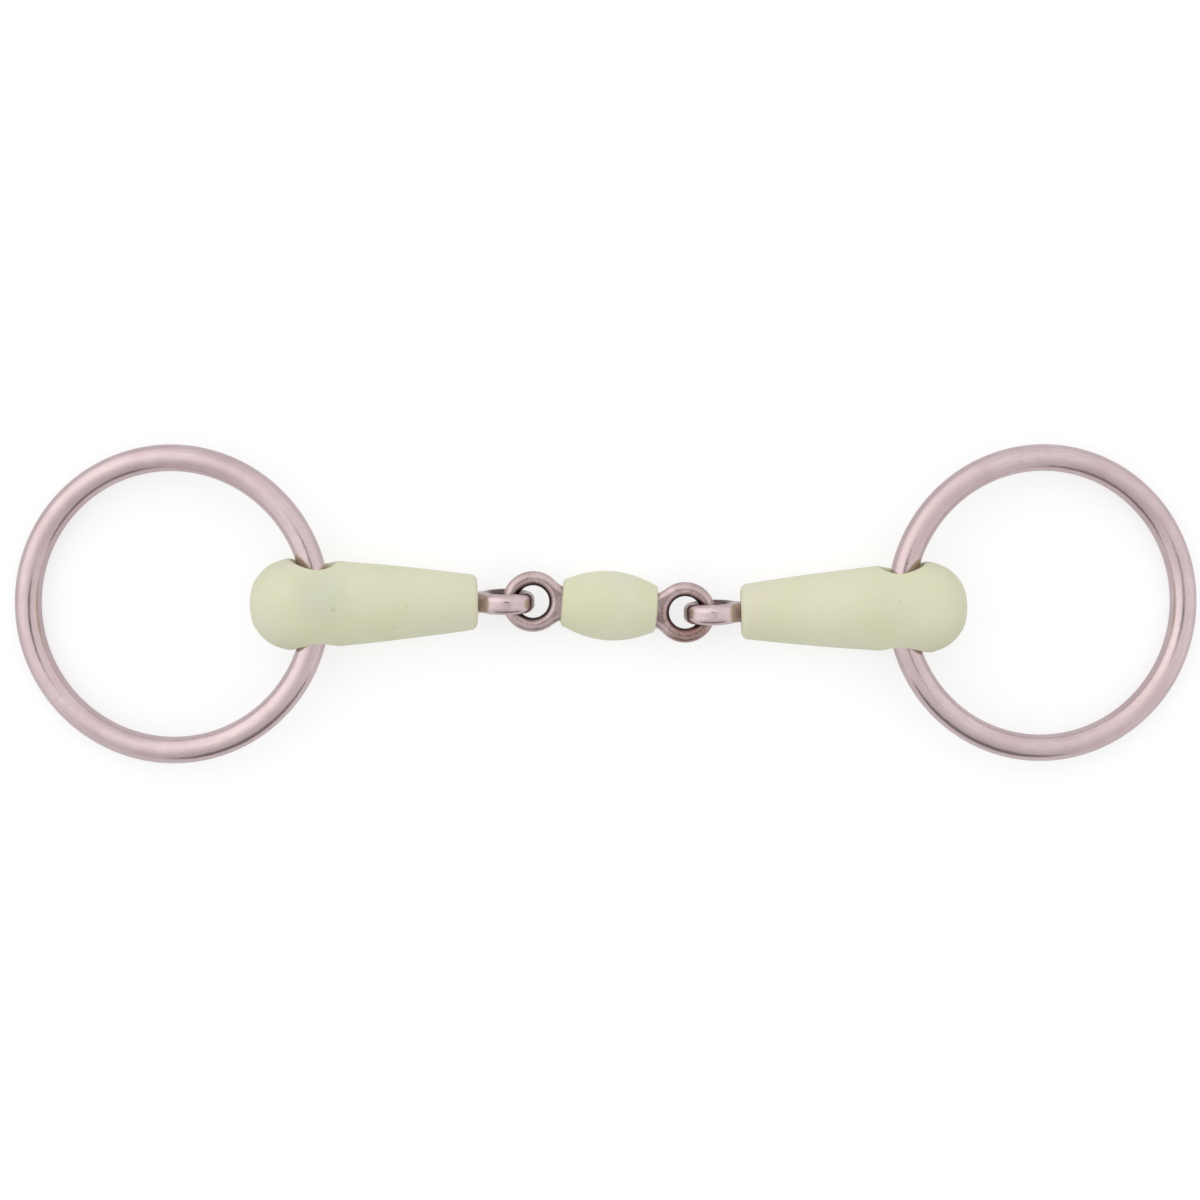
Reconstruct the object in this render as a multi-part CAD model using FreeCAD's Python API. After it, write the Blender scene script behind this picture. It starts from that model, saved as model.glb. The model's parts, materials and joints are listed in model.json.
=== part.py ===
import FreeCAD, Part
import math
import os

# Double-jointed loose-ring snaffle bit, lying flat as it comes to rest on a table. Millimetres.
# X runs along the mouthpiece, Y lies in the plane of the table, +Z is up.
# The origin is on the table, midway between the two rings.

Vector = FreeCAD.Vector
Placement = FreeCAD.Placement
Rotation = FreeCAD.Rotation
ORIGIN = Vector(0, 0, 0)
X_AXIS = Vector(1, 0, 0)
Y_AXIS = Vector(0, 1, 0)
Z_AXIS = Vector(0, 0, 1)
FLAT = 0.01              # an edge whose box is thinner than this lies in a plane

# Rings
RING_INNER_D = 64.0
WIRE_D = 6.5

# Arm, measured along its own axis from the centre of the ring hole
NOSE_REACH = 15.4        # outboard, to the rounded end of the bulb
NOSE_SIDE = (1.75, 6.6)  # a point of the bulb's curve: inboard of the nose, and radius
BULB_SIDE = (5.3, 9.8)   # another, nearer its crest
BULB_AT = 5.95           # outboard, to where the crest begins
BULB_CREST_R = 11.0      # there
BULB_R = 11.13           # at the widest, a little further in
WAIST_AT = 1.4           # inboard
WAIST_R = 10.75
SHOULDER_AT = 7.8        # inboard
SHOULDER_R = 10.15
SLEEVE_END_AT = 39.1     # inboard, the flat end face
SLEEVE_END_R = 6.85
SLEEVE_CORNER_R = 1.7
TAPER_BULGE = 0.2        # how far the taper stands proud of a straight cone
ARM_EYE_AT = 45.95       # inboard, the centre of the arm's eye

# Arm eye, upright
ARM_EYE_R = 6.95
ARM_EYE_HOLE_R = 3.1
ARM_EYE_WIDTH = 4.86
ARM_EYE_ROUND = 1.75
ARM_NECK_R = 2.45
ARM_NECK_FILLET = 2.0
NECK_OVERLAP = 1.0       # how far the neck runs on inside the shank

# Ring hole: bush in the core's boss, kept in by the sleeve's lips
RING_SET_IN = 0.6        # the wire's middle, inboard of the hole's axis, so that its bend fits the hole
BUSH_BORE_R = 4.2
BUSH_WALL = 0.9
BUSH_LENGTH = 10.0
BUSH_EDGE = 0.3
RUNNING_CLEARANCE = 0.08
BUSH_END_PLAY = 0.05
BOSS_R = 6.9
BOSS_EDGE = 0.8
MOUTH_CLEARANCE = 0.85   # hole mouth to the wire of a ring that lies square to the hole
MOUTH_ROUND = 1.2

# Core shank, inside the sleeve
SHANK_BOSS_R = 4.7
SHANK_NECK_R = 2.9
SHANK_START = 5.0
SHANK_END = 36.0
GROOVES_AT = (14.0, 20.0, 26.0)
GROOVE_WIDTH = 2.0
GROOVE_DEPTH = 0.7

# Centre link, flat
LINK_PITCH = 36.85       # between the centres of its eyes
LINK_EYE_R = 7.33
LINK_EYE_HOLE_R = 3.9
LINK_THICKNESS = 3.6
LINK_EYE_ROUND = 1.55
LINK_BAR_HALF_WIDTH = 3.4
LINK_BAR_FILLET = 8.0
BARREL_LENGTH = 23.0
BARREL_BELLY_R = 8.45
BARREL_END_R = 6.0
BARREL_CORNER_R = 1.2
BARREL_OFF_LINE = 0.3    # across the link, from the line of its eyes to the barrel's own axis

# Eye play: how far the link eye's wire, drawn into the tip of the arm eye, stands inboard of its centre
EYE_OFFSET = 1.0

# Lie of the links on the table, in degrees: turned about +Z, and each arm rolled about its own length, which
# raises the +Y end of its ring hole. Each arm's eye may also lie off the middle of the link's eye, along +Y.
LINK_YAW = -4.05
ARM_YAW = {"left": 0.5, "right": 1.6}
ARM_SLIP = {"left": 0.0, "right": -0.2}
ARM_ROLL = {"left": 5.5, "right": 4.5}

# Sizes that follow from the above
WIRE_R = WIRE_D / 2
RING_R = (RING_INNER_D + WIRE_D) / 2
BUSH_R = BUSH_BORE_R + BUSH_WALL
BOSS_BORE_R = BUSH_R + RUNNING_CLEARANCE
POCKET_HALF = BUSH_LENGTH / 2 + BUSH_END_PLAY
RING_REACH = RING_R - RING_SET_IN
LINK_WIRE_AT = (LINK_EYE_R + LINK_EYE_HOLE_R) / 2
PIVOT_AT = ARM_EYE_AT + EYE_OFFSET


def point(x, y):
    """A point of a flat outline."""
    return Vector(x, y, 0)


def arc(start, middle, end):
    return Part.Arc(start, middle, end).toShape()


def line(start, end):
    return Part.LineSegment(start, end).toShape()


def solid_of_revolution(edges, axis):
    """One solid from a closed half outline in the XY plane, turned about a line through the origin."""
    face = Part.Face(Part.Wire(edges))
    return Part.Solid(face.revolve(ORIGIN, axis, 360).Shells[0])


def eye_to_bar(eye_r, half_width, fillet_r):
    """Where a fillet joins a round eye at the origin to a bar along +X.

    Returns the tangent point on the eye, a point inside the fillet and the tangent point on the bar's edge.
    """
    centre = point(math.sqrt((eye_r + fillet_r) ** 2 - (half_width + fillet_r) ** 2), half_width + fillet_r)
    on_eye = centre * (eye_r / (eye_r + fillet_r))
    on_bar = point(centre.x, half_width)
    to_middle = (on_eye - centre).normalize() + (on_bar - centre).normalize()
    return on_eye, centre + to_middle.normalize() * fillet_r, on_bar


def mirrored_y(p):
    return point(p.x, -p.y)


def rounded_plate(outline, holes, thickness, edge_round):
    """A plate centred on the XY plane, with round holes, and with its rims rounded.

    holes holds pairs of a centre and a radius. A straight rim at the +X end stays sharp, since it is the
    end of a bar that is buried in another solid.
    """
    plate = Part.Face(Part.Wire(outline)).extrude(Z_AXIS * thickness)
    plate.translate(Z_AXIS * (-thickness / 2))
    for centre, radius in holes:
        plate = plate.cut(Part.makeCylinder(radius, thickness, centre - Z_AXIS * (thickness / 2)))
    far_end = plate.BoundBox.XMax
    rims = []
    for edge in plate.Edges:
        box = edge.BoundBox
        if box.ZLength < FLAT and box.XMin < far_end - FLAT:
            rims.append(edge)
    return plate.makeFillet(edge_round, rims)


def ring():
    """The ring in its hole's frame: origin in the hole, centre outboard along -X."""
    return Part.makeTorus(RING_R, WIRE_R, point(-RING_REACH, 0), Z_AXIS)


def bush():
    """Wear bush along Y."""
    start = Y_AXIS * (-BUSH_LENGTH / 2)
    tube = Part.makeCylinder(BUSH_R, BUSH_LENGTH, start, Y_AXIS)
    tube = tube.cut(Part.makeCylinder(BUSH_BORE_R, BUSH_LENGTH, start, Y_AXIS))
    rims = [edge for edge in tube.Edges if edge.BoundBox.YLength < FLAT]
    return tube.makeChamfer(BUSH_EDGE, rims)


def boss():
    """The core's boss round the ring hole, along Y, without its bore."""
    blank = Part.makeCylinder(BOSS_R, 2 * POCKET_HALF, Y_AXIS * (-POCKET_HALF), Y_AXIS)
    rims = [edge for edge in blank.Edges if edge.BoundBox.YLength < FLAT]
    return blank.makeFillet(BOSS_EDGE, rims)


def shank():
    """Tapered shank along X, with grooves that lock the plastic on."""
    slope = (SHANK_NECK_R - SHANK_BOSS_R) / (SHANK_END - SHANK_START)
    corners = [point(SHANK_START, 0), point(SHANK_START, SHANK_BOSS_R)]
    for at in GROOVES_AT:
        for x, depth in (
            (at - GROOVE_WIDTH / 2, 0),
            (at - GROOVE_WIDTH / 2, GROOVE_DEPTH),
            (at + GROOVE_WIDTH / 2, GROOVE_DEPTH),
            (at + GROOVE_WIDTH / 2, 0),
        ):
            corners.append(point(x, SHANK_BOSS_R + slope * (x - SHANK_START) - depth))
    corners += [point(SHANK_END, SHANK_NECK_R), point(SHANK_END, 0)]
    return solid_of_revolution(Part.makePolygon(corners + corners[:1]).Edges, X_AXIS)


def arm_eye():
    """Upright eye and its neck, which runs back into the shank."""
    on_eye, in_fillet, on_neck = eye_to_bar(ARM_EYE_R, ARM_NECK_R, ARM_NECK_FILLET)
    neck_length = ARM_EYE_AT - SHANK_END + NECK_OVERLAP
    corner = point(neck_length, ARM_NECK_R)
    outline = [
        arc(on_eye, point(-ARM_EYE_R, 0), mirrored_y(on_eye)),
        arc(mirrored_y(on_eye), mirrored_y(in_fillet), mirrored_y(on_neck)),
        line(mirrored_y(on_neck), mirrored_y(corner)),
        line(mirrored_y(corner), corner),
        line(corner, on_neck),
        arc(on_neck, in_fillet, on_eye),
    ]
    eye = rounded_plate(outline, [(ORIGIN, ARM_EYE_HOLE_R)], ARM_EYE_WIDTH, ARM_EYE_ROUND)
    # stand it upright, with the neck towards the ring hole
    eye.Placement = Placement(point(ARM_EYE_AT, 0), Rotation(Z_AXIS, 180) * Rotation(X_AXIS, 90))
    return eye


def core():
    """The arm's steel core, one piece from the boss to the eye."""
    whole = boss().fuse([shank(), arm_eye()])
    whole = whole.cut(Part.makeCylinder(BOSS_BORE_R, 2 * BOSS_R, Y_AXIS * -BOSS_R, Y_AXIS))
    return whole.removeSplitter().Solids[0]


def ring_hole():
    """The space the ring needs in the sleeve: the bush's pocket, and a mouth on each side.

    A mouth starts straight, clear of the ring's outer side, and flares where the ring bends away. The flare
    keeps the same distance from the wire, which lets the ring swing right round and the arm roll on it.
    """
    reach = BULB_R + WIRE_R
    mouth_r = RING_INNER_D / 2 - MOUTH_CLEARANCE
    rim = point(RING_REACH - math.sqrt(mouth_r**2 - reach**2), reach)
    throat = point(RING_REACH - mouth_r, 0)
    mouth = solid_of_revolution(
        [
            arc(mirrored_y(rim), throat, rim),
            line(rim, point(0, reach)),
            line(point(0, reach), point(0, -reach)),
            line(point(0, -reach), mirrored_y(rim)),
        ],
        Y_AXIS,
    )
    throat_r = math.sqrt((RING_R + WIRE_R) ** 2 - POCKET_HALF**2) - RING_REACH + MOUTH_CLEARANCE
    straight = Part.makeCylinder(throat_r, 2 * reach, Y_AXIS * -reach, Y_AXIS)
    pocket = Part.makeCylinder(BOSS_BORE_R, 2 * POCKET_HALF, Y_AXIS * -POCKET_HALF, Y_AXIS)
    return mouth.fuse([straight, pocket])


def sleeve_blank():
    """The outside of the plastic cover, turned about the arm's axis."""
    nose = point(-NOSE_REACH, 0)
    nose_side = nose + point(*NOSE_SIDE)
    bulb_side = nose + point(*BULB_SIDE)
    crest = point(-BULB_AT, BULB_CREST_R)
    waist = point(WAIST_AT, WAIST_R)
    shoulder = point(SHOULDER_AT, SHOULDER_R)
    taper_end = point(SLEEVE_END_AT - SLEEVE_CORNER_R, SLEEVE_END_R)
    taper_middle = (shoulder + taper_end) * 0.5 + Y_AXIS * TAPER_BULGE
    corner_side = SLEEVE_CORNER_R * math.sqrt(0.5)
    corner_middle = taper_end + point(corner_side, corner_side - SLEEVE_CORNER_R)
    corner_end = taper_end + point(SLEEVE_CORNER_R, -SLEEVE_CORNER_R)
    swell = Part.BSplineCurve()
    swell.interpolate(
        Points=[nose, nose_side, bulb_side, crest, waist, shoulder],
        Tangents=[Y_AXIS] * 6,
        TangentFlags=[True, False, False, False, False, False],
    )
    axis_end = point(SLEEVE_END_AT, 0)
    return solid_of_revolution(
        [
            swell.toShape(),
            arc(shoulder, taper_middle, taper_end),
            arc(taper_end, corner_middle, corner_end),
            line(corner_end, axis_end),
            line(axis_end, nose),
        ],
        X_AXIS,
    )


def sleeve(arm_core):
    """The plastic cover, moulded round the core and open for the ring."""
    blank = sleeve_blank()
    blank.rotate(ORIGIN, X_AXIS, -90)
    opened = blank.cut(ring_hole())
    mouths = []
    for edge in opened.Edges:
        box = edge.BoundBox
        beyond_pocket = box.YMin > POCKET_HALF + FLAT or box.YMax < -POCKET_HALF - FLAT
        if beyond_pocket and box.YLength > FLAT:
            mouths.append(edge)
    return opened.makeFillet(MOUTH_ROUND, mouths).cut(arm_core).Solids[0]


def link_core():
    """Two flat eyes on one bar along X."""
    on_eye, in_fillet, on_bar = eye_to_bar(LINK_EYE_R, LINK_BAR_HALF_WIDTH, LINK_BAR_FILLET)
    eye_centre = point(-LINK_PITCH / 2, 0)

    def left(p):
        return eye_centre + p

    def right(p):
        """The same point on the other eye, half a turn round."""
        return (eye_centre + p) * -1

    half_outline = [
        arc(left(on_eye), left(point(-LINK_EYE_R, 0)), left(mirrored_y(on_eye))),
        arc(left(mirrored_y(on_eye)), left(mirrored_y(in_fillet)), left(mirrored_y(on_bar))),
        line(left(mirrored_y(on_bar)), right(on_bar)),
        arc(right(on_bar), right(in_fillet), right(on_eye)),
    ]
    other_half = [edge.rotated(ORIGIN, Z_AXIS, 180) for edge in half_outline]
    holes = [(eye_centre, LINK_EYE_HOLE_R), (eye_centre * -1, LINK_EYE_HOLE_R)]
    return rounded_plate(half_outline + other_half, holes, LINK_THICKNESS, LINK_EYE_ROUND)


def link_barrel(bar):
    """The plastic barrel, moulded round the link's bar."""
    end = BARREL_LENGTH / 2
    corner_start = point(end - BARREL_CORNER_R, BARREL_END_R)
    corner_end = point(end, BARREL_END_R - BARREL_CORNER_R)
    corner_side = BARREL_CORNER_R * (1 - math.sqrt(0.5))
    corner_middle = point(end - corner_side, BARREL_END_R - corner_side)

    def mirrored_x(p):
        return point(-p.x, p.y)

    blank = solid_of_revolution(
        [
            arc(mirrored_x(corner_start), point(0, BARREL_BELLY_R), corner_start),
            arc(corner_start, corner_middle, corner_end),
            line(corner_end, point(end, 0)),
            line(point(end, 0), point(-end, 0)),
            line(point(-end, 0), mirrored_x(corner_end)),
            arc(mirrored_x(corner_end), mirrored_x(corner_middle), mirrored_x(corner_start)),
        ],
        X_AXIS,
    )
    blank.translate(Y_AXIS * BARREL_OFF_LINE)
    return blank.cut(bar).Solids[0]


def rest_placements():
    """Where the link, each arm and each ring lie at rest, and each arm's fold pivot.

    The barrel's belly, both bulbs and the far side of both rings touch the table. The result is in a
    dictionary by name, before the origin is moved midway between the rings.
    """
    places = {"link": Placement(Z_AXIS * BARREL_BELLY_R, Rotation(Z_AXIS, LINK_YAW))}
    arm_pitch = math.degrees(math.asin((BULB_R - BARREL_BELLY_R) / (PIVOT_AT + BULB_AT)))
    for side, half_turn in (("left", 0), ("right", 180)):
        sign = -1 if side == "left" else 1
        heading = Rotation(Z_AXIS, ARM_YAW[side] + half_turn)
        eye_centre = places["link"].multVec(X_AXIS * (sign * LINK_PITCH / 2))
        pivot = eye_centre - heading.multVec(X_AXIS) * LINK_WIRE_AT + Y_AXIS * ARM_SLIP[side]
        turn = heading * Rotation(Y_AXIS, arm_pitch) * Rotation(X_AXIS, -sign * ARM_ROLL[side])
        hole = pivot - turn.multVec(X_AXIS) * PIVOT_AT
        ring_drop = math.degrees(math.asin((hole.z - WIRE_R) / (RING_REACH + RING_R)))
        places[side + "_pivot"] = Placement(pivot, heading)
        places[side + "_arm"] = Placement(hole, turn)
        places[side + "_ring"] = Placement(hole, heading * Rotation(Y_AXIS, -ring_drop))
    return places


places = rest_placements()
ring_centres = [places[side + "_ring"].multVec(X_AXIS * -RING_REACH) for side in ("left", "right")]
midway = (ring_centres[0] + ring_centres[1]) * 0.5
midway.z = 0
for name in places:
    places[name].move(midway * -1)

arm_core = core()
arm_sleeve = sleeve(arm_core)
link_bar = link_core()
nodes = {
    "link_core": (link_bar, "link"),
    "link_barrel": (link_barrel(link_bar), "link"),
}
for side in ("left", "right"):
    nodes[side + "_core"] = (arm_core, side + "_arm")
    nodes[side + "_sleeve"] = (arm_sleeve, side + "_arm")
    nodes[side + "_bush"] = (bush(), side + "_arm")
    nodes[side + "_ring"] = (ring(), side + "_ring")

os.makedirs("parts", exist_ok=True)
for node, (shape, place) in nodes.items():
    placed = shape.copy()
    placed.Placement = places[place] * placed.Placement
    placed.exportStep("parts/" + node + ".step")
    print(node, "valid" if placed.isValid() else "INVALID", len(placed.Solids), round(placed.Volume, 1))
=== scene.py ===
import json
import math

import bpy
import numpy as np
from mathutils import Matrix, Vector, noise


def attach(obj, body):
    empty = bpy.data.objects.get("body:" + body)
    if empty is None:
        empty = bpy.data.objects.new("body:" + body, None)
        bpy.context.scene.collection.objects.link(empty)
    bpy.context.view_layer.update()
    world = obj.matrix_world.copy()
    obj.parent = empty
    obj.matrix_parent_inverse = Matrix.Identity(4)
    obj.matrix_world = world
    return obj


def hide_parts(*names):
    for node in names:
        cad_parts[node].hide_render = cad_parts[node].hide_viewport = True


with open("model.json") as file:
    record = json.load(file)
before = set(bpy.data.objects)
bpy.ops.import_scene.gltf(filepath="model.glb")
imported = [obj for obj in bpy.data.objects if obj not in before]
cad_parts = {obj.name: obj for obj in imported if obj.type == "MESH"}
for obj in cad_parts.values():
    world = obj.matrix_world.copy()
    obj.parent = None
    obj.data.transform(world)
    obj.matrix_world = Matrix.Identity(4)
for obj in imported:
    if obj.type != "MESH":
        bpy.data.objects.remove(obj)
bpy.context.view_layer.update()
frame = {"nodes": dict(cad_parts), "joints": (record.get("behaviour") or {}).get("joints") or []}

MM = 0.001
SIDES = ("left", "right")
NODES = frame["nodes"]
JOINTS = {joint["name"]: joint for joint in frame["joints"]}

# Camera: almost overhead, a little behind the middle of the bit and a little to its left
CAMERA_PLACE = (-0.0230, 0.0400, 0.7849)
CAMERA_TURN = (-2.882, -1.530, 0.097)   # degrees about X, Y and Z, from looking straight down
CAMERA_LENS = 96.67
SENSOR_WIDTH = 36.0

# Steel, as reflectance: polished rings and arm eyes, the duller link, brown for stains and painted shade
# round the eyes' holes, and near-black painted shade inside the holes and at the arm eyes' tips
STEEL_LIGHT = (0.710, 0.575, 0.580)
STEEL_DEEP = (0.620, 0.482, 0.488)
LINK_STEEL_LIGHT = (0.670, 0.530, 0.528)
LINK_STEEL_DEEP = (0.510, 0.385, 0.378)
STAIN_AND_SHADE_BROWN = (0.300, 0.165, 0.135)
PAINTED_SHADE_BLACK = (0.085, 0.055, 0.052)

# Plastic of the arms and the barrel
PLASTIC_PALE = (0.718, 0.716, 0.543)
PLASTIC_GREEN = (0.682, 0.689, 0.472)
# Painted shade: darker and cooler where the boss's steel lies under the translucent plastic round the ring's
# hole
PAINTED_SHADE_OVER_STEEL = (0.619, 0.638, 0.496)
PLASTIC_WARM = (0.713, 0.666, 0.529)
MARK_COLOUR = (0.330, 0.335, 0.230)
SUBSURFACE_SHARE = 0.35
SUBSURFACE_DEPTH = 1.6 * MM
SUBSURFACE_RADIUS = (1.0, 1.1, 0.6)

# Hard plastic of the bushes
BUSH_DARK = (0.34, 0.35, 0.29)
BUSH_PALE = (0.42, 0.43, 0.35)

# Noise scales, in waves per metre
STEEL_GRAIN = 1900.0
STEEL_DENTS = 190.0
RING_CLOUDS = 60.0
EYE_CLOUDS = 230.0
STAIN_BLOTCHES = 430.0
PLASTIC_CLOUDS = 62.0
PLASTIC_WARMTH = 120.0
PLASTIC_PEEL = 420.0
PLASTIC_GRAIN = 3200.0
MARK_EDGES = 1500.0
BUSH_CLOUDS = 300.0
BUSH_TURNING = (30.0, 6000.0, 30.0)
RING_FLATS = 95.0
SLEEVE_SINK = 85.0
BARREL_SINK = 110.0

# The ring's streaks, in waves per unit of UV: U has 16 units to a turn of the ring, V one round the wire
RING_U_UNITS = 16.0
FINE_STREAKS = (9.0, 260.0, 1.0)
COARSE_STREAKS = (3.2, 64.0, 1.0)

# Depth of the shallow dents that polishing leaves, and roughness of the steels, from smoothest to dullest
RING_DENT_DEPTH = 0.06 * MM
EYE_DENT_DEPTH = 0.10 * MM
RING_ROUGHNESS = (0.11, 0.20)
ARM_EYE_ROUGHNESS = (0.14, 0.26)
LINK_ROUGHNESS = (0.20, 0.34)

# How far the middle of each eye, and the tip of each arm's eye, stands from the fold pivot towards the
# barrel, near enough to lay the stains and the painted shade by
LINK_EYE_FROM_PIVOT = 5.525 * MM
ARM_EYE_FROM_PIVOT = -1.0 * MM
ARM_EYE_TIP_FROM_PIVOT = 6.1 * MM

# Size of the faces that the plastic is remeshed to
SLEEVE_VOXEL = 0.34 * MM
BARREL_VOXEL = 0.30 * MM

# Starting points in the noise, so that the pieces differ
RING_SEEDS = {"left": 5.0, "right": 17.0}
SLEEVE_SEEDS = {"left": 3.0, "right": 11.0}
BARREL_SEED = 23.0
ARM_CLOUD_SHIFTS = {"left": (0.0, 0.0, 0.0), "right": (0.31, 0.17, 0.05)}
BARREL_CLOUD_SHIFT = (0.7, 0.4, 0.2)


def joint_place(name):
    return np.array(JOINTS[name]["pos_m"])


def joint_axis(name):
    axis = np.array(JOINTS[name]["axis"])
    return axis / np.linalg.norm(axis)


def inward_along(side):
    """The arm's own direction, from its ring hole towards the link."""
    run = joint_place(side + "_arm_fold") - joint_place(side + "_ring_swing")
    return run / np.linalg.norm(run)


def eye_centre(side, from_pivot):
    """A point on the arm's heading in the table's plane, past the fold pivot towards the barrel."""
    heading = np.cross(joint_axis(side + "_arm_fold"), (0.0, 0.0, 1.0))
    toward_barrel = 1.0 if side == "left" else -1.0
    return joint_place(side + "_arm_fold") + toward_barrel * from_pivot * heading


# ---------------------------------------------------------------- shader building

def opaque(value):
    """A colour of three numbers with its alpha added. Anything else comes back as it is."""
    return (*value, 1.0) if isinstance(value, tuple) else value


class Shader:
    """A small writer of node trees: each method adds a node and gives back its output socket."""

    def __init__(self, name):
        self.material = bpy.data.materials.new(name)
        self.material.use_nodes = True
        self.tree = self.material.node_tree
        self.bsdf = self.tree.nodes["Principled BSDF"]

    def add(self, kind, **settings):
        made = self.tree.nodes.new(kind)
        for key, value in settings.items():
            setattr(made, key, value)
        return made

    def put(self, value, socket):
        if isinstance(value, bpy.types.NodeSocket):
            self.tree.links.new(value, socket)
        else:
            socket.default_value = value

    def place(self):
        return self.add("ShaderNodeTexCoord").outputs["Object"]

    def uv(self):
        return self.add("ShaderNodeTexCoord").outputs["UV"]

    def mapped(self, vector, scale=(1, 1, 1), turn=(0, 0, 0), shift=(0, 0, 0)):
        made = self.add("ShaderNodeMapping")
        self.put(vector, made.inputs["Vector"])
        made.inputs["Scale"].default_value = scale
        made.inputs["Rotation"].default_value = turn
        made.inputs["Location"].default_value = shift
        return made.outputs["Vector"]

    def noise(self, vector, scale, detail=3.0, rough=0.5, distortion=0.0):
        made = self.add("ShaderNodeTexNoise")
        self.put(vector, made.inputs["Vector"])
        made.inputs["Scale"].default_value = scale
        made.inputs["Detail"].default_value = detail
        made.inputs["Roughness"].default_value = rough
        made.inputs["Distortion"].default_value = distortion
        return made.outputs["Fac"]

    def ranged(self, value, low, high, out_low=0.0, out_high=1.0, smooth=False):
        made = self.add("ShaderNodeMapRange")
        if smooth:
            made.interpolation_type = "SMOOTHSTEP"
        self.put(value, made.inputs["Value"])
        made.inputs["From Min"].default_value = low
        made.inputs["From Max"].default_value = high
        made.inputs["To Min"].default_value = out_low
        made.inputs["To Max"].default_value = out_high
        return made.outputs["Result"]

    def math(self, operation, first, second=0.0):
        made = self.add("ShaderNodeMath", operation=operation)
        self.put(first, made.inputs[0])
        self.put(second, made.inputs[1])
        return made.outputs["Value"]

    def mix(self, amount, first, second):
        made = self.add("ShaderNodeMix", data_type="RGBA")
        self.put(amount, made.inputs["Factor"])
        self.put(opaque(first), made.inputs["A"])
        self.put(opaque(second), made.inputs["B"])
        return made.outputs["Result"]

    def nearness(self, vector, centre, reach, core=0.0, kept=(1, 1, 1)):
        """1 within core of the centre, falling smoothly to 0 at reach. kept is 0 for an axis to leave out."""
        away = self.add("ShaderNodeVectorMath", operation="SUBTRACT")
        self.put(vector, away.inputs[0])
        away.inputs[1].default_value = centre
        across = self.add("ShaderNodeVectorMath", operation="MULTIPLY")
        self.put(away.outputs["Vector"], across.inputs[0])
        across.inputs[1].default_value = kept
        size = self.add("ShaderNodeVectorMath", operation="LENGTH")
        self.put(across.outputs["Vector"], size.inputs[0])
        return self.ranged(size.outputs["Value"], core, reach, 1.0, 0.0, smooth=True)

    def bump(self, height, distance, strength=1.0, under=None):
        made = self.add("ShaderNodeBump")
        made.inputs["Strength"].default_value = strength
        made.inputs["Distance"].default_value = distance
        self.put(height, made.inputs["Height"])
        if under is not None:
            self.put(under, made.inputs["Normal"])
        return made.outputs["Normal"]

    def finish(self, **values):
        """Sets or links the surface's own sockets, named with _ for each space, and gives the material."""
        for key, value in values.items():
            self.put(opaque(value), self.bsdf.inputs[key.replace("_", " ")])
        return self.material


def steel(name, light, deep, cloud_scale, roughness, dent_depth):
    """Polished stainless steel with a warm cast.

    Gives the shader and its place, colour, roughness and normal sockets, for more to be laid on them.
    """
    shader = Shader(name)
    place = shader.place()
    clouds = shader.noise(place, cloud_scale, detail=5.0, rough=0.65)
    colour = shader.mix(shader.ranged(clouds, 0.38, 0.62), deep, light)
    grain = shader.noise(place, STEEL_GRAIN, detail=3.0, rough=0.65)
    colour = shader.mix(shader.ranged(grain, 0.54, 0.74, 0.0, 0.45), colour, deep)
    rough = shader.ranged(clouds, 0.3, 0.7, *roughness)
    normal = shader.bump(grain, 0.020 * MM, 0.5)
    dents = shader.noise(place, STEEL_DENTS, detail=2.0, rough=0.5)
    normal = shader.bump(dents, dent_depth, 0.5, under=normal)
    return shader, place, colour, rough, normal


def ring_steel_material():
    """Ring steel, with the long fine streaks of a polished wire. The UV map's U runs along the wire."""
    shader, _, colour, rough, normal = steel("ring_steel_polished", STEEL_LIGHT, STEEL_DEEP, RING_CLOUDS,
                                             RING_ROUGHNESS, RING_DENT_DEPTH)
    fine = shader.noise(shader.mapped(shader.uv(), scale=FINE_STREAKS), 1.0, detail=5.0, rough=0.65)
    coarse = shader.noise(shader.mapped(shader.uv(), scale=COARSE_STREAKS), 1.0, detail=4.0, rough=0.6)
    colour = shader.mix(shader.ranged(coarse, 0.50, 0.66, 0.0, 0.80), colour, STEEL_DEEP)
    rough = shader.math("ADD", rough, shader.ranged(fine, 0.52, 0.75, 0.0, 0.12))
    normal = shader.bump(fine, 0.018 * MM, 0.6, under=normal)
    normal = shader.bump(coarse, 0.038 * MM, 0.5, under=normal)
    return shader.finish(Base_Color=colour, Metallic=1.0, Roughness=rough, Normal=normal)


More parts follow.
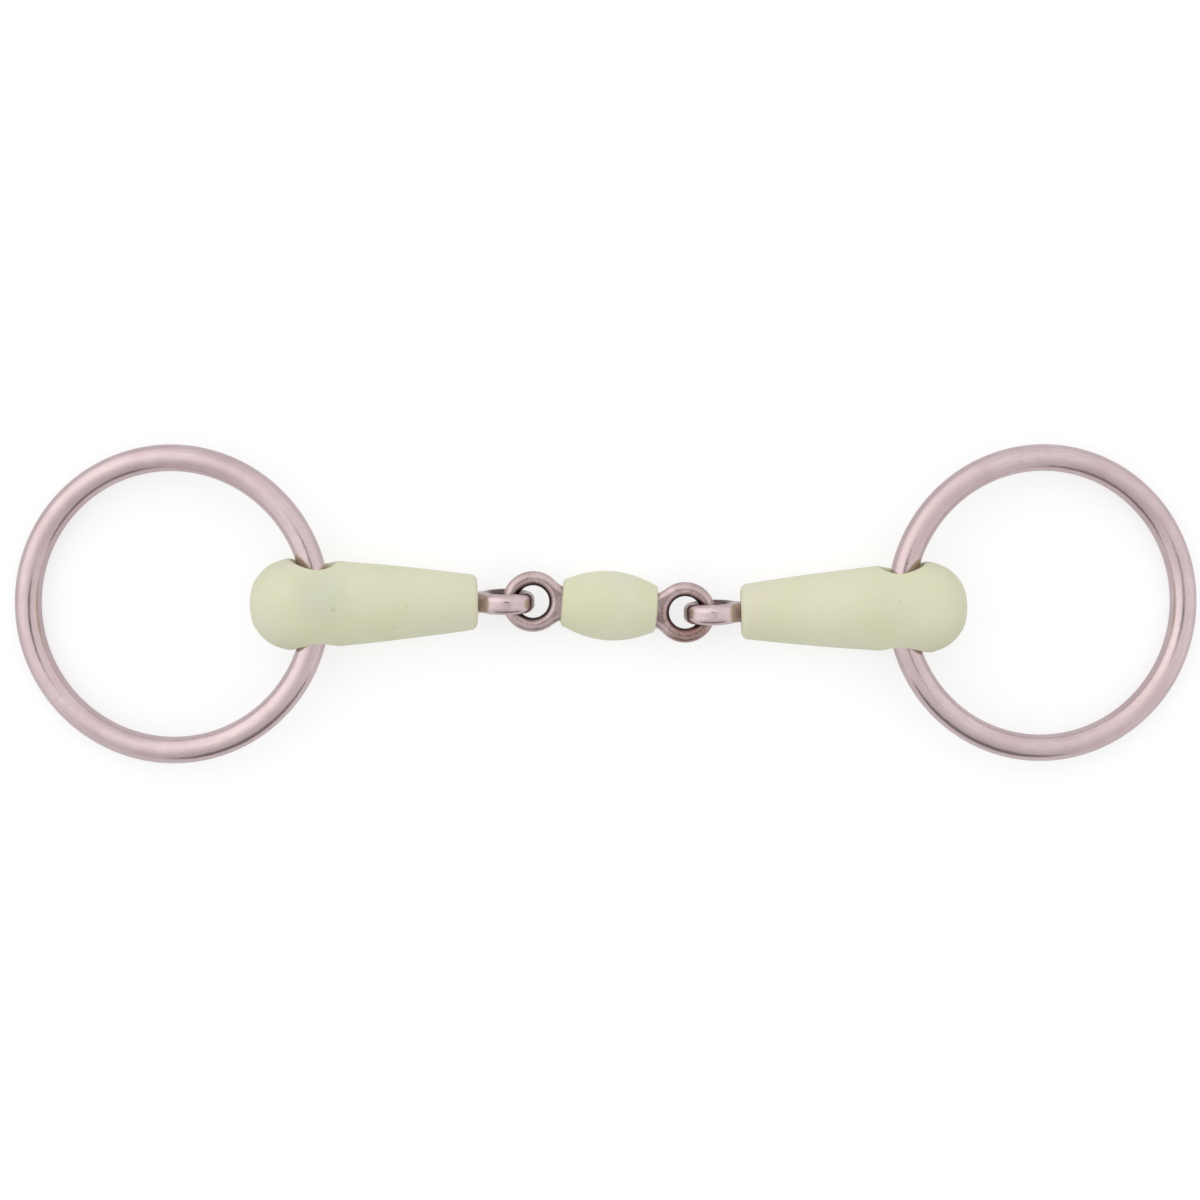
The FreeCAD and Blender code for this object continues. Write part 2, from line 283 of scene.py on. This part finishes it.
def eye_steel_material(name, light, deep, roughness, holes, kept, stains_and_shade):
    """Steel of the eyes: brown round each hole, partly stains and partly painted shade, and painted shade
    nearly black inside each hole.

    holes are the eyes' centres, and kept is 0 for the axis that each hole runs along. The last argument lists
    more places, of painted shade and of stains: each a colour, a centre, a radius and a strength.
    """
    shader, place, colour, rough, normal = steel(name, light, deep, EYE_CLOUDS, roughness, EYE_DENT_DEPTH)
    blotches = shader.noise(place, STAIN_BLOTCHES, detail=4.0, rough=0.65, distortion=0.5)
    blotches = shader.ranged(blotches, 0.47, 0.62)
    # Round each hole, blotchy brown that is partly stains and partly painted shade, and inside it near-black
    # painted shade
    for centre in holes:
        around = shader.nearness(place, centre, 7.0 * MM, 5.0 * MM, kept)
        stain_and_shade = shader.math("MULTIPLY", shader.math("MULTIPLY", around, blotches), 0.50)
        colour = shader.mix(stain_and_shade, colour, STAIN_AND_SHADE_BROWN)
        shaded_wall = shader.nearness(place, centre, 5.3 * MM, 4.2 * MM, kept)
        colour = shader.mix(shader.math("MULTIPLY", shaded_wall, 0.90), colour, PAINTED_SHADE_BLACK)
    uneven = shader.ranged(blotches, 0.0, 1.0, 0.65, 1.0)
    # The further places: near-black painted shade at the arm eyes' tips, and brown stains on the link
    for stain_and_shade_colour, centre, radius, strength in stains_and_shade:
        near = shader.nearness(place, centre, radius, radius * 0.3)
        amount = shader.math("MULTIPLY", shader.math("MULTIPLY", near, uneven), strength)
        colour = shader.mix(amount, colour, stain_and_shade_colour)
    return shader.finish(Base_Color=colour, Metallic=1.0, Roughness=rough, Normal=normal)


def soft_plastic(name, cloud_shift, tints_and_shade, marks):
    """Pale, slightly translucent moulded plastic.

    The patches after the cloud shift are soft areas of another colour: painted shade where the steel lies
    close under the skin, and the plastic's warmer tone where it has warmed with age. Each is a colour, a
    centre, a radius and a strength. marks are small dull specks, each a centre, a radius and a strength.
    """
    shader = Shader(name)
    bare = shader.place()
    place = shader.mapped(bare, shift=cloud_shift)
    clouds = shader.noise(place, PLASTIC_CLOUDS, detail=3.0, rough=0.55)
    colour = shader.mix(shader.ranged(clouds, 0.34, 0.66), PLASTIC_GREEN, PLASTIC_PALE)
    warm = shader.noise(place, PLASTIC_WARMTH, detail=2.0, rough=0.5, distortion=0.4)
    colour = shader.mix(shader.ranged(warm, 0.54, 0.74, 0.0, 0.40), colour, PLASTIC_WARM)
    # Soft patches: painted shade over the boss's steel, and the warmer tone of aged plastic
    for tint_and_shade_colour, centre, radius, strength in tints_and_shade:
        near = shader.nearness(bare, centre, radius, radius * 0.25)
        colour = shader.mix(shader.math("MULTIPLY", near, strength), colour, tint_and_shade_colour)
    ragged = shader.ranged(shader.noise(bare, MARK_EDGES, detail=2.0), 0.35, 0.60)
    for centre, radius, strength in marks:
        near = shader.nearness(bare, centre, radius, radius * 0.15, kept=(1, 1, 0))
        near = shader.math("MULTIPLY", near, ragged)
        colour = shader.mix(shader.math("MULTIPLY", near, strength), colour, MARK_COLOUR)
    grain = shader.noise(place, PLASTIC_GRAIN, detail=3.0, rough=0.6)
    orange_peel = shader.noise(place, PLASTIC_PEEL, detail=2.0, rough=0.5)
    normal = shader.bump(grain, 0.010 * MM, 0.5)
    normal = shader.bump(orange_peel, 0.030 * MM, 0.4, under=normal)
    rough = shader.ranged(orange_peel, 0.3, 0.7, 0.46, 0.60)
    shader.bsdf.inputs["Subsurface Radius"].default_value = SUBSURFACE_RADIUS
    return shader.finish(Base_Color=colour, Roughness=rough, Normal=normal,
                         Subsurface_Weight=SUBSURFACE_SHARE, Subsurface_Scale=SUBSURFACE_DEPTH)


def hard_plastic(name):
    """The bushes' darker hard plastic, with fine turning marks round the bore."""
    shader = Shader(name)
    place = shader.place()
    turned = shader.noise(shader.mapped(place, scale=BUSH_TURNING), 1.0, detail=2.0)
    clouds = shader.noise(place, BUSH_CLOUDS, detail=3.0)
    return shader.finish(Base_Color=shader.mix(clouds, BUSH_DARK, BUSH_PALE),
                         Roughness=shader.ranged(turned, 0.3, 0.7, 0.22, 0.38),
                         Normal=shader.bump(turned, 0.01 * MM, 0.5))


# ---------------------------------------------------------------- meshes

def linked(name, mesh):
    made = bpy.data.objects.new(name, mesh)
    bpy.context.collection.objects.link(made)
    return made


def smooth_shaded(mesh):
    mesh.polygons.foreach_set("use_smooth", np.ones(len(mesh.polygons), dtype=bool))
    mesh.update()


def coordinates(mesh):
    flat = np.empty(len(mesh.vertices) * 3)
    mesh.vertices.foreach_get("co", flat)
    return flat.reshape(-1, 3)


def wire_ring(name, node, centre, axis, weld_angle, seed):
    """A ring of round wire where the CAD ring lies, with its ground-down weld and the slight unevenness that
    polishing leaves. It never stands outside the CAD ring."""
    around_steps = 512
    wire_steps = 56
    flats_depth = 0.035 * MM
    weld_half_width = 1.6 * MM
    weld_groove = 0.022 * MM

    from_centre = coordinates(NODES[node].data) - centre
    along = from_centre @ axis
    outward = np.linalg.norm(from_centre - np.outer(along, axis), axis=1)
    wire_radius = along.max()
    ring_radius = outward.max() - wire_radius

    first = np.cross((0.0, 1.0, 0.0), axis)
    first = first / np.linalg.norm(first)
    second = np.cross(axis, first)

    vertices = []
    for step in range(around_steps):
        angle = 2 * math.pi * step / around_steps
        radial = math.cos(angle) * first + math.sin(angle) * second
        from_weld = (angle - weld_angle + math.pi) % (2 * math.pi) - math.pi
        weld_offset = abs(from_weld) * ring_radius / weld_half_width
        groove = weld_groove * math.exp(-((weld_offset - 1.0) * 3.0) ** 2)
        for turn in range(wire_steps):
            round_angle = 2 * math.pi * turn / wire_steps
            outline = math.cos(round_angle) * radial + math.sin(round_angle) * axis
            spot = Vector(centre + ring_radius * radial + wire_radius * outline)
            flats = 0.5 + 0.5 * noise.noise(spot * RING_FLATS + Vector((seed, 0, 0)))
            radius = wire_radius - flats_depth * flats - groove
            vertices.append(centre + ring_radius * radial + radius * outline)

    faces = []
    for step in range(around_steps):
        for turn in range(wire_steps):
            after = (step + 1) % around_steps
            beside = (turn + 1) % wire_steps
            faces.append((step * wire_steps + turn, after * wire_steps + turn,
                          after * wire_steps + beside, step * wire_steps + beside))
    mesh = bpy.data.meshes.new(name)
    mesh.from_pydata([tuple(v) for v in vertices], [], faces)
    layer = mesh.uv_layers.new(name="along_wire")
    corner = 0
    for step in range(around_steps):
        for turn in range(wire_steps):
            for more_step, more_turn in ((0, 0), (1, 0), (1, 1), (0, 1)):
                layer.data[corner].uv = ((step + more_step) / around_steps * RING_U_UNITS,
                                         (turn + more_turn) / wire_steps)
                corner += 1
    smooth_shaded(mesh)
    return linked(name, mesh)


def evenly_meshed(name, node, voxel):
    """A copy of a CAD node with even faces, drawn back onto the CAD surface."""
    made = linked(name, NODES[node].data.copy())
    made.data.materials.clear()
    remesh = made.modifiers.new("even", "REMESH")
    remesh.mode = "VOXEL"
    remesh.voxel_size = voxel
    relax = made.modifiers.new("relax", "SMOOTH")
    relax.factor = 0.5
    relax.iterations = 4
    wrap = made.modifiers.new("wrap", "SHRINKWRAP")
    wrap.target = NODES[node]
    wrap.wrap_method = "NEAREST_SURFACEPOINT"
    depsgraph = bpy.context.evaluated_depsgraph_get()
    mesh = bpy.data.meshes.new_from_object(made.evaluated_get(depsgraph))
    made.modifiers.clear()
    made.data = mesh
    smooth_shaded(mesh)
    return made


def press_in(piece, depth_of):
    """Moves each point inward along its normal by depth_of(points), in metres."""
    mesh = piece.data
    points = coordinates(mesh)
    normals = np.empty(len(mesh.vertices) * 3)
    mesh.vertices.foreach_get("normal", normals)
    moved = points - normals.reshape(-1, 3) * depth_of(points)[:, None]
    mesh.vertices.foreach_set("co", moved.ravel())
    mesh.update()


def step_up(value, low, high):
    share = np.clip((value - low) / (high - low), 0.0, 1.0)
    return share * share * (3.0 - 2.0 * share)


def unevenness(points, scale, seed):
    return np.array([0.5 + 0.5 * noise.noise(Vector(p) * scale + Vector((seed, 0, 0))) for p in points])


def dressed_sleeve(side):
    """The arm's plastic: the CAD shape, with the slight sink of thick moulded plastic and a fine parting
    line left standing round its edge."""
    sink_depth = 0.10 * MM
    seam_height = 0.045 * MM
    seam_half_width = 0.22 * MM
    skin_radius = 6.2 * MM
    skin_edge = 0.6 * MM
    mouth_reach = (6.6 * MM, 8.8 * MM)
    clear_of_mouth = (6.0 * MM, 8.0 * MM)

    hole = joint_place(side + "_ring_swing")
    across = joint_axis(side + "_ring_swing")
    inward = inward_along(side)
    upward = np.cross(inward, across)

    def depth(points):
        away = points - hole
        along = away @ inward
        side_way = away @ across
        height = away @ upward
        from_axis = np.hypot(side_way, height)
        from_hole = np.hypot(along, height)
        skin = step_up(from_axis, skin_radius - skin_edge, skin_radius)
        skin = skin * np.maximum(step_up(from_hole, *mouth_reach), step_up(np.abs(height), *clear_of_mouth))
        sink = sink_depth * unevenness(points, SLEEVE_SINK, SLEEVE_SEEDS[side])
        seam = seam_height * (1.0 - np.exp(-(height / seam_half_width) ** 2))
        return skin * (sink + seam)

    piece = evenly_meshed(side + "_arm_cover", side + "_sleeve", SLEEVE_VOXEL)
    press_in(piece, depth)
    return piece


def dressed_barrel():
    """The barrel's plastic: the CAD shape, with a slight sink and a faint parting line round its belly."""
    sink_depth = 0.07 * MM
    seam_height = 0.04 * MM
    seam_half_width = 0.25 * MM
    skin_radius = 4.6 * MM
    skin_edge = 0.5 * MM
    left_eye, right_eye = (eye_centre(side, LINK_EYE_FROM_PIVOT) for side in SIDES)
    middle = (left_eye + right_eye) / 2
    along_axis = (right_eye - left_eye) / np.linalg.norm(right_eye - left_eye)

    def depth(points):
        away = points - middle
        along = away @ along_axis
        from_axis = np.linalg.norm(away - np.outer(along, along_axis), axis=1)
        skin = step_up(from_axis, skin_radius - skin_edge, skin_radius)
        sink = sink_depth * unevenness(points, BARREL_SINK, BARREL_SEED)
        seam = seam_height * (1.0 - np.exp(-(along / seam_half_width) ** 2))
        return skin * (sink + seam)

    piece = evenly_meshed("link_barrel_cover", "link_barrel", BARREL_VOXEL)
    press_in(piece, depth)
    return piece


# ---------------------------------------------------------------- the pieces

ring_steel = ring_steel_material()
bush_plastic = hard_plastic("bush_hard_plastic")

# Painted shade where the boss's steel lies under the translucent plastic round the ring's hole, and where the
# inner end has warmed
BOSS_SHADE_STRENGTH = {"left": 0.60, "right": 0.30}
BOSS_SHADE_INWARD = 2.5 * MM
BOSS_SHADE_ASIDE = (0.0, 2.0 * MM, 10.0 * MM)
BOSS_SHADE_RADIUS = 9.0 * MM
WARM_TINT_STRENGTH = 0.50
WARM_TINT_FROM_PIVOT = 12.0 * MM
WARM_TINT_RADIUS = 13.0 * MM

# Near-black painted shade at the arm eyes' tips, where they pass through the link's eyes, and brown stains
# along the front of the link's right eye
TIP_SHADE_RADIUS = 3.4 * MM
TIP_SHADE_STRENGTH = 0.80
FRONT_STAIN_ASIDE = (1.0 * MM, -5.5 * MM, 1.5 * MM)
FRONT_STAIN_RADIUS = 7.0 * MM
FRONT_STAIN_STRENGTH = 0.75

# Where each ring is welded, as an angle round it
WELD_ANGLES = {"left": math.radians(223), "right": math.radians(233)}

# Small dull marks on the arms' plastic: place, radius and strength
ARM_MARKS = {
    "left": [((-0.0657, -0.0009, 0), 0.95 * MM, 0.50), ((-0.0484, 0.0001, 0), 0.60 * MM, 0.35),
             ((-0.0514, -0.0052, 0), 1.10 * MM, 0.14)],
    "right": [((0.0690, 0.0016, 0), 0.42 * MM, 0.75)],
}

for side in SIDES:
    ring = wire_ring(side + "_ring_wire", side + "_ring", joint_place(side + "_ring_spin"),
                     joint_axis(side + "_ring_spin"), WELD_ANGLES[side], RING_SEEDS[side])
    ring.data.materials.append(ring_steel)
    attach(ring, side + "_ring")
    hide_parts(side + "_ring")

    inward = inward_along(side)
    over_boss = joint_place(side + "_ring_swing") + BOSS_SHADE_INWARD * inward + np.array(BOSS_SHADE_ASIDE)
    inner_end = joint_place(side + "_arm_fold") - WARM_TINT_FROM_PIVOT * inward
    # The painted shade over the boss, and the warmer tone of the sleeve's inner end
    tints_and_shade = [(PAINTED_SHADE_OVER_STEEL, tuple(over_boss), BOSS_SHADE_RADIUS, BOSS_SHADE_STRENGTH[side]),
             (PLASTIC_WARM, tuple(inner_end), WARM_TINT_RADIUS, WARM_TINT_STRENGTH)]
    cover = dressed_sleeve(side)
    cover.data.materials.append(soft_plastic(side + "_arm_moulded_plastic", ARM_CLOUD_SHIFTS[side], tints_and_shade,
                                             ARM_MARKS[side]))
    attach(cover, side + "_arm")
    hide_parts(side + "_sleeve")

    # The arm's eye: near-black painted shade inside its hole and at its tip, where it passes through the
    # link's eye, and brown round the hole, partly stains and partly painted shade
    eye_tip = tuple(eye_centre(side, ARM_EYE_TIP_FROM_PIVOT))
    arm_steel = eye_steel_material(side + "_arm_steel", STEEL_LIGHT, STEEL_DEEP, ARM_EYE_ROUGHNESS,
                                   [tuple(eye_centre(side, ARM_EYE_FROM_PIVOT))], (1, 0, 1),
                                   [(PAINTED_SHADE_BLACK, eye_tip, TIP_SHADE_RADIUS, TIP_SHADE_STRENGTH)])
    NODES[side + "_core"].material_slots[0].material = arm_steel
    NODES[side + "_bush"].material_slots[0].material = bush_plastic

# The link: near-black painted shade inside its eyes' holes, brown round them, partly stains and partly
# painted shade, and brown stains along the front of the right eye
link_eyes = [tuple(eye_centre(side, LINK_EYE_FROM_PIVOT)) for side in SIDES]
right_eye_front = tuple(eye_centre("right", LINK_EYE_FROM_PIVOT) + np.array(FRONT_STAIN_ASIDE))
NODES["link_core"].material_slots[0].material = eye_steel_material(
    "link_steel", LINK_STEEL_LIGHT, LINK_STEEL_DEEP, LINK_ROUGHNESS, link_eyes, (1, 1, 0),
    [(STAIN_AND_SHADE_BROWN, right_eye_front, FRONT_STAIN_RADIUS, FRONT_STAIN_STRENGTH)])

barrel = dressed_barrel()
barrel.data.materials.append(soft_plastic("barrel_moulded_plastic", BARREL_CLOUD_SHIFT, [], []))
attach(barrel, "link")
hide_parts("link_barrel")


# ---------------------------------------------------------------- stage, light and camera

MATT = 0.9          # roughness of the stage's surfaces
FLOOR_GREY = (0.42, 0.42, 0.42)
FLOOR_GLOW = 0.64
BOUNCE_GREY = (0.62, 0.62, 0.64)
BOUNCE_GLOW = 0.20
BOUNCE_HEIGHT = -0.5 * MM


def floor_plane(name, height, colour, glow):
    reach = 2.5
    mesh = bpy.data.meshes.new(name)
    mesh.from_pydata([(-reach, -reach, height), (reach, -reach, height), (reach, reach, height),
                      (-reach, reach, height)], [], [(0, 1, 2, 3)])
    mesh.materials.append(Shader(name).finish(
        Base_Color=colour, Roughness=MATT, Specular_IOR_Level=0.0,
        Emission_Color=(1.0, 1.0, 1.0), Emission_Strength=glow))
    made = linked(name, mesh)
    return made


# The camera sees the floor. The object sees the bounce, just under it, which lights it from below.
floor = floor_plane("floor", 0.0, FLOOR_GREY, FLOOR_GLOW)
floor.visible_diffuse = False
floor.visible_glossy = False
floor.visible_transmission = False
floor.visible_shadow = False
bounce = floor_plane("floor_bounce", BOUNCE_HEIGHT, BOUNCE_GREY, BOUNCE_GLOW)
bounce.visible_camera = False


CARD_BLACK = (0.02, 0.02, 0.02)
CARD_GLOW_COLOUR = (1.0, 0.96, 0.98)


def dark_card(name, centre, half_width, half_length, turn, upright, glow):
    """An oval card that only reflections see. turn is in degrees, in the card's own plane."""
    steps = 64
    cos_turn, sin_turn = math.cos(math.radians(turn)), math.sin(math.radians(turn))
    rim = []
    for step in range(steps):
        angle = 2 * math.pi * step / steps
        wide, long = half_width * math.cos(angle), half_length * math.sin(angle)
        across = wide * cos_turn - long * sin_turn
        along = wide * sin_turn + long * cos_turn
        rim.append((centre[0] + across, centre[1] + (0.0 if upright else along),
                    centre[2] + (along if upright else 0.0)))
    mesh = bpy.data.meshes.new(name)
    mesh.from_pydata(rim, [], [tuple(range(steps))])
    mesh.materials.append(Shader(name).finish(
        Base_Color=CARD_BLACK, Roughness=MATT, Emission_Color=CARD_GLOW_COLOUR, Emission_Strength=glow))
    made = linked(name, mesh)
    made.visible_camera = False
    made.visible_diffuse = False
    made.visible_shadow = False


# What the polished steel mirrors as soft dark lines: the camera, its arm, and something low in front
camera_x, camera_y, camera_z = CAMERA_PLACE
dark_card("camera_body", centre=(camera_x - 0.01, camera_y, camera_z + 0.02), half_width=0.085,
          half_length=0.105, turn=0.0, upright=False, glow=0.04)
dark_card("camera_arm", centre=(camera_x + 0.12, camera_y - 0.09, camera_z + 0.03), half_width=0.17,
          half_length=0.07, turn=-35.0, upright=False, glow=0.12)
dark_card("low_front", centre=(0.02, -0.20, 0.055), half_width=0.17,
          half_length=0.060, turn=0.0, upright=True, glow=0.20)

# The room round the table: an even pale dome, brighter behind on the left, darker at the front, and with a
# narrow darker patch straight behind. Each entry is compass angle, height angle, how much
# it adds and how narrow it is.
ROOM_BASE = 0.98
ROOM_LOBES = (
    (150.0, 38.0, 0.40, 4.0),
    (270.0, 30.0, -0.36, 2.5),
    (82.0, 20.0, -0.14, 18.0),
)


def studio_room():
    world = bpy.data.worlds.new("studio_room")
    world.use_nodes = True
    bpy.context.scene.world = world
    tree = world.node_tree
    look = tree.nodes.new("ShaderNodeTexCoord").outputs["Generated"]
    total = None
    for compass, height, amount, narrow in ROOM_LOBES:
        flat = math.cos(math.radians(height))
        toward = (flat * math.cos(math.radians(compass)), flat * math.sin(math.radians(compass)),
                  math.sin(math.radians(height)))
        facing = tree.nodes.new("ShaderNodeVectorMath")
        facing.operation = "DOT_PRODUCT"
        tree.links.new(look, facing.inputs[0])
        facing.inputs[1].default_value = toward
        front = tree.nodes.new("ShaderNodeMath")
        front.operation = "MAXIMUM"
        tree.links.new(facing.outputs["Value"], front.inputs[0])
        front.inputs[1].default_value = 0.0
        lobe = tree.nodes.new("ShaderNodeMath")
        lobe.operation = "POWER"
        tree.links.new(front.outputs["Value"], lobe.inputs[0])
        lobe.inputs[1].default_value = narrow
        added = tree.nodes.new("ShaderNodeMath")
        added.operation = "MULTIPLY_ADD"
        tree.links.new(lobe.outputs["Value"], added.inputs[0])
        added.inputs[1].default_value = amount
        if total is None:
            added.inputs[2].default_value = ROOM_BASE
        else:
            tree.links.new(total, added.inputs[2])
        total = added.outputs["Value"]
    background = tree.nodes["Background"]
    background.inputs["Color"].default_value = (1.0, 1.0, 1.0, 1.0)
    tree.links.new(total, background.inputs["Strength"])


studio_room()

camera_data = bpy.data.cameras.new("camera")
camera_data.lens = CAMERA_LENS
camera_data.sensor_width = SENSOR_WIDTH
camera = bpy.data.objects.new("camera", camera_data)
camera.location = CAMERA_PLACE
camera.rotation_euler = [math.radians(turn) for turn in CAMERA_TURN]
bpy.context.collection.objects.link(camera)
bpy.context.scene.camera = camera
bpy.context.scene.view_settings.view_transform = "Standard"
